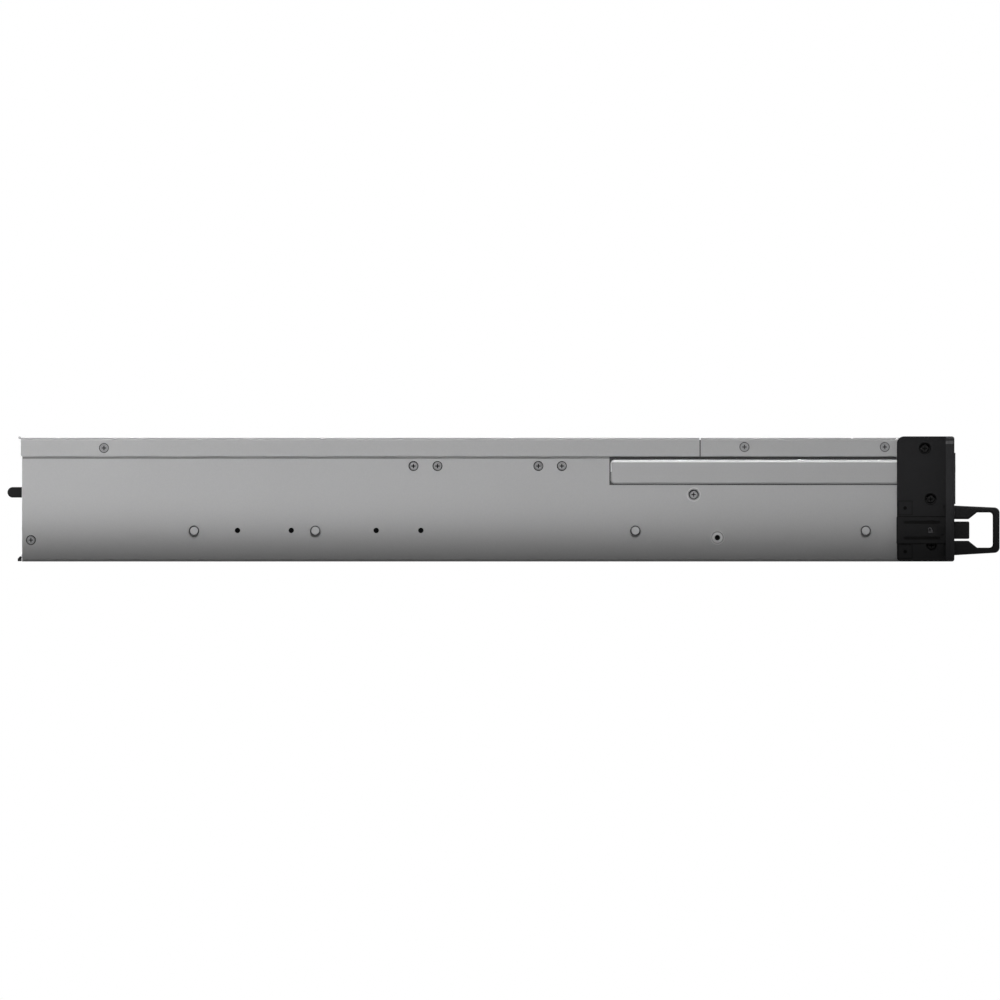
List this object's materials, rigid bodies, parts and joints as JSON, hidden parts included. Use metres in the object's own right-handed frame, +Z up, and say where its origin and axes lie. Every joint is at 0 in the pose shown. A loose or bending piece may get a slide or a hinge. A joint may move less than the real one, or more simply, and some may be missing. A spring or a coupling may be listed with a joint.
{
  "type": "rack-mount storage server",
  "caption": "Two-unit rack-mount storage server with hot-swap drive trays, latching ears with handles, lift-off rear cover, fans and plug-in power supplies.",
  "frame": {"origin": "on the resting plane under the middle of the whole object", "axes": "+Z up, the front with its drives, ears and handles towards -Y, +X to the right seen from the front"},
  "size_m": [0.4826, 0.6982, 0.0881],
  "materials": {
    "coated_steel": "satin grey coated sheet steel",
    "inner_steel": "bare zinc-plated sheet steel",
    "screw_steel": "plated steel",
    "black_plastic": "matt black moulded plastic",
    "button_plastic": "dark grey moulded plastic",
    "lever_plastic": "black moulded plastic",
    "release_plastic": "black moulded plastic",
    "drive_case": "cast and sheet aluminium",
    "circuit_board": "green laminate",
    "module_board": "green laminate",
    "heatsink": "extruded aluminium",
    "port_metal": "plated sheet metal"
  },
  "bodies": {
    "chassis": {"chassis_tray": "coated_steel", "front_cover": "coated_steel", "cover_screws": "screw_steel", "case_screws": "screw_steel", "rail_studs": "screw_steel", "ear_left": "black_plastic", "ear_right": "black_plastic", "handle_left": "black_plastic", "handle_right": "black_plastic", "latch_pins": "screw_steel", "drive_cage": "inner_steel", "backplane": "circuit_board", "fan_cage": "inner_steel", "fan_frames": "black_plastic", "crossbars": "inner_steel", "mainboard": "circuit_board", "memory_modules": "module_board", "cpu_heatsinks": "heatsink", "power_cage": "inner_steel", "rear_panel": "coated_steel", "slot_covers": "inner_steel", "rear_ports": "port_metal"},
    "drive_tray_01": {"drive_tray_01": "drive_case"},
    "tray_lever_01": {"tray_lever_01": "lever_plastic"},
    "drive_tray_02": {"drive_tray_02": "drive_case"},
    "tray_lever_02": {"tray_lever_02": "lever_plastic"},
    "drive_tray_03": {"drive_tray_03": "drive_case"},
    "tray_lever_03": {"tray_lever_03": "lever_plastic"},
    "drive_tray_04": {"drive_tray_04": "drive_case"},
    "tray_lever_04": {"tray_lever_04": "lever_plastic"},
    "drive_tray_05": {"drive_tray_05": "drive_case"},
    "tray_lever_05": {"tray_lever_05": "lever_plastic"},
    "drive_tray_06": {"drive_tray_06": "drive_case"},
    "tray_lever_06": {"tray_lever_06": "lever_plastic"},
    "drive_tray_07": {"drive_tray_07": "drive_case"},
    "tray_lever_07": {"tray_lever_07": "lever_plastic"},
    "drive_tray_08": {"drive_tray_08": "drive_case"},
    "tray_lever_08": {"tray_lever_08": "lever_plastic"},
    "drive_tray_09": {"drive_tray_09": "drive_case"},
    "tray_lever_09": {"tray_lever_09": "lever_plastic"},
    "drive_tray_10": {"drive_tray_10": "drive_case"},
    "tray_lever_10": {"tray_lever_10": "lever_plastic"},
    "drive_tray_11": {"drive_tray_11": "drive_case"},
    "tray_lever_11": {"tray_lever_11": "lever_plastic"},
    "drive_tray_12": {"drive_tray_12": "drive_case"},
    "tray_lever_12": {"tray_lever_12": "lever_plastic"},
    "fan_rotor_1": {"fan_rotor_1": "black_plastic"},
    "fan_rotor_2": {"fan_rotor_2": "black_plastic"},
    "fan_rotor_3": {"fan_rotor_3": "black_plastic"},
    "power_supply_1": {"power_supply_1": "coated_steel"},
    "release_catch_1": {"release_catch_1": "release_plastic"},
    "supply_fan_1": {"supply_fan_1": "black_plastic"},
    "power_supply_2": {"power_supply_2": "coated_steel"},
    "release_catch_2": {"release_catch_2": "release_plastic"},
    "supply_fan_2": {"supply_fan_2": "black_plastic"},
    "rear_cover": {"rear_cover": "coated_steel", "rear_cover_screws": "screw_steel"},
    "latch_right": {"latch_right": "black_plastic"},
    "latch_left": {"latch_left": "black_plastic"},
    "power_button": {"power_button": "button_plastic"}
  },
  "joints": [
    {"name": "latch_right_hinge", "type": "hinge", "parent": "chassis", "child": "latch_right", "pos_m": [0.2219, -0.28, 0.02205], "axis": [0, 0, -1], "range_deg": [0, 4.5], "stiffness_Nm_per_rad": 0.6, "springref_deg": -5.73},
    {"name": "latch_left_hinge", "type": "hinge", "parent": "chassis", "child": "latch_left", "pos_m": [-0.2219, -0.28, 0.02205], "axis": [0, 0, 1], "range_deg": [0, 4.5], "stiffness_Nm_per_rad": 0.6, "springref_deg": -5.73},
    {"name": "power_button_press", "type": "slide", "parent": "chassis", "child": "power_button", "axis": [0, 1, 0], "range_m": [0, 0.001], "stiffness_N_per_m": 400, "springref_m": -0.002},
    {"name": "rear_cover_lift", "type": "slide", "parent": "chassis", "child": "rear_cover", "axis": [0, 0, 1], "range_m": [0, 0.15]},
    {"name": "supply_slide_1", "type": "slide", "parent": "chassis", "child": "power_supply_1", "axis": [0, 1, 0], "range_m": [0, 0.2]},
    {"name": "supply_slide_2", "type": "slide", "parent": "chassis", "child": "power_supply_2", "axis": [0, 1, 0], "range_m": [0, 0.2]},
    {"name": "catch_slide_1", "type": "slide", "parent": "power_supply_1", "child": "release_catch_1", "axis": [-1, 0, 0], "range_m": [0, 0.0025], "stiffness_N_per_m": 200, "springref_m": -0.002},
    {"name": "catch_slide_2", "type": "slide", "parent": "power_supply_2", "child": "release_catch_2", "axis": [-1, 0, 0], "range_m": [0, 0.0025], "stiffness_N_per_m": 200, "springref_m": -0.002},
    {"name": "supply_fan_spin_1", "type": "hinge", "parent": "power_supply_1", "child": "supply_fan_1", "pos_m": [-0.1862, 0.3318, 0.0595], "axis": [0, 1, 0], "continuous": true},
    {"name": "supply_fan_spin_2", "type": "hinge", "parent": "power_supply_2", "child": "supply_fan_2", "pos_m": [-0.1306, 0.3318, 0.0595], "axis": [0, 1, 0], "continuous": true},
    {"name": "fan_spin_1", "type": "hinge", "parent": "chassis", "child": "fan_rotor_1", "pos_m": [-0.13, -0.0663, 0.0427], "axis": [0, 1, 0], "continuous": true},
    {"name": "fan_spin_2", "type": "hinge", "parent": "chassis", "child": "fan_rotor_2", "pos_m": [0, -0.0663, 0.0427], "axis": [0, 1, 0], "continuous": true},
    {"name": "fan_spin_3", "type": "hinge", "parent": "chassis", "child": "fan_rotor_3", "pos_m": [0.13, -0.0663, 0.0427], "axis": [0, 1, 0], "continuous": true},
    {"name": "tray_slide_01", "type": "slide", "parent": "chassis", "child": "drive_tray_01", "axis": [0, -1, 0], "range_m": [0, 0.165]},
    {"name": "lever_hinge_01", "type": "hinge", "parent": "drive_tray_01", "child": "tray_lever_01", "pos_m": [-0.2075, -0.3138, 0.0709], "axis": [0, 0, -1], "range_deg": [0, 50]},
    {"name": "tray_slide_02", "type": "slide", "parent": "chassis", "child": "drive_tray_02", "axis": [0, -1, 0], "range_m": [0, 0.165]},
    {"name": "lever_hinge_02", "type": "hinge", "parent": "drive_tray_02", "child": "tray_lever_02", "pos_m": [-0.1011, -0.3138, 0.0709], "axis": [0, 0, -1], "range_deg": [0, 50]},
    {"name": "tray_slide_03", "type": "slide", "parent": "chassis", "child": "drive_tray_03", "axis": [0, -1, 0], "range_m": [0, 0.165]},
    {"name": "lever_hinge_03", "type": "hinge", "parent": "drive_tray_03", "child": "tray_lever_03", "pos_m": [0.0053, -0.3138, 0.0709], "axis": [0, 0, -1], "range_deg": [0, 50]},
    {"name": "tray_slide_04", "type": "slide", "parent": "chassis", "child": "drive_tray_04", "axis": [0, -1, 0], "range_m": [0, 0.165]},
    {"name": "lever_hinge_04", "type": "hinge", "parent": "drive_tray_04", "child": "tray_lever_04", "pos_m": [0.1117, -0.3138, 0.0709], "axis": [0, 0, -1], "range_deg": [0, 50]},
    {"name": "tray_slide_05", "type": "slide", "parent": "chassis", "child": "drive_tray_05", "axis": [0, -1, 0], "range_m": [0, 0.165]},
    {"name": "lever_hinge_05", "type": "hinge", "parent": "drive_tray_05", "child": "tray_lever_05", "pos_m": [-0.2075, -0.3138, 0.0433], "axis": [0, 0, -1], "range_deg": [0, 50]},
    {"name": "tray_slide_06", "type": "slide", "parent": "chassis", "child": "drive_tray_06", "axis": [0, -1, 0], "range_m": [0, 0.165]},
    {"name": "lever_hinge_06", "type": "hinge", "parent": "drive_tray_06", "child": "tray_lever_06", "pos_m": [-0.1011, -0.3138, 0.0433], "axis": [0, 0, -1], "range_deg": [0, 50]},
    {"name": "tray_slide_07", "type": "slide", "parent": "chassis", "child": "drive_tray_07", "axis": [0, -1, 0], "range_m": [0, 0.165]},
    {"name": "lever_hinge_07", "type": "hinge", "parent": "drive_tray_07", "child": "tray_lever_07", "pos_m": [0.0053, -0.3138, 0.0433], "axis": [0, 0, -1], "range_deg": [0, 50]},
    {"name": "tray_slide_08", "type": "slide", "parent": "chassis", "child": "drive_tray_08", "axis": [0, -1, 0], "range_m": [0, 0.165]},
    {"name": "lever_hinge_08", "type": "hinge", "parent": "drive_tray_08", "child": "tray_lever_08", "pos_m": [0.1117, -0.3138, 0.0433], "axis": [0, 0, -1], "range_deg": [0, 50]},
    {"name": "tray_slide_09", "type": "slide", "parent": "chassis", "child": "drive_tray_09", "axis": [0, -1, 0], "range_m": [0, 0.165]},
    {"name": "lever_hinge_09", "type": "hinge", "parent": "drive_tray_09", "child": "tray_lever_09", "pos_m": [-0.2075, -0.3138, 0.0157], "axis": [0, 0, -1], "range_deg": [0, 50]},
    {"name": "tray_slide_10", "type": "slide", "parent": "chassis", "child": "drive_tray_10", "axis": [0, -1, 0], "range_m": [0, 0.165]},
    {"name": "lever_hinge_10", "type": "hinge", "parent": "drive_tray_10", "child": "tray_lever_10", "pos_m": [-0.1011, -0.3138, 0.0157], "axis": [0, 0, -1], "range_deg": [0, 50]},
    {"name": "tray_slide_11", "type": "slide", "parent": "chassis", "child": "drive_tray_11", "axis": [0, -1, 0], "range_m": [0, 0.165]},
    {"name": "lever_hinge_11", "type": "hinge", "parent": "drive_tray_11", "child": "tray_lever_11", "pos_m": [0.0053, -0.3138, 0.0157], "axis": [0, 0, -1], "range_deg": [0, 50]},
    {"name": "tray_slide_12", "type": "slide", "parent": "chassis", "child": "drive_tray_12", "axis": [0, -1, 0], "range_m": [0, 0.165]},
    {"name": "lever_hinge_12", "type": "hinge", "parent": "drive_tray_12", "child": "tray_lever_12", "pos_m": [0.1117, -0.3138, 0.0157], "axis": [0, 0, -1], "range_deg": [0, 50]}
  ]
}
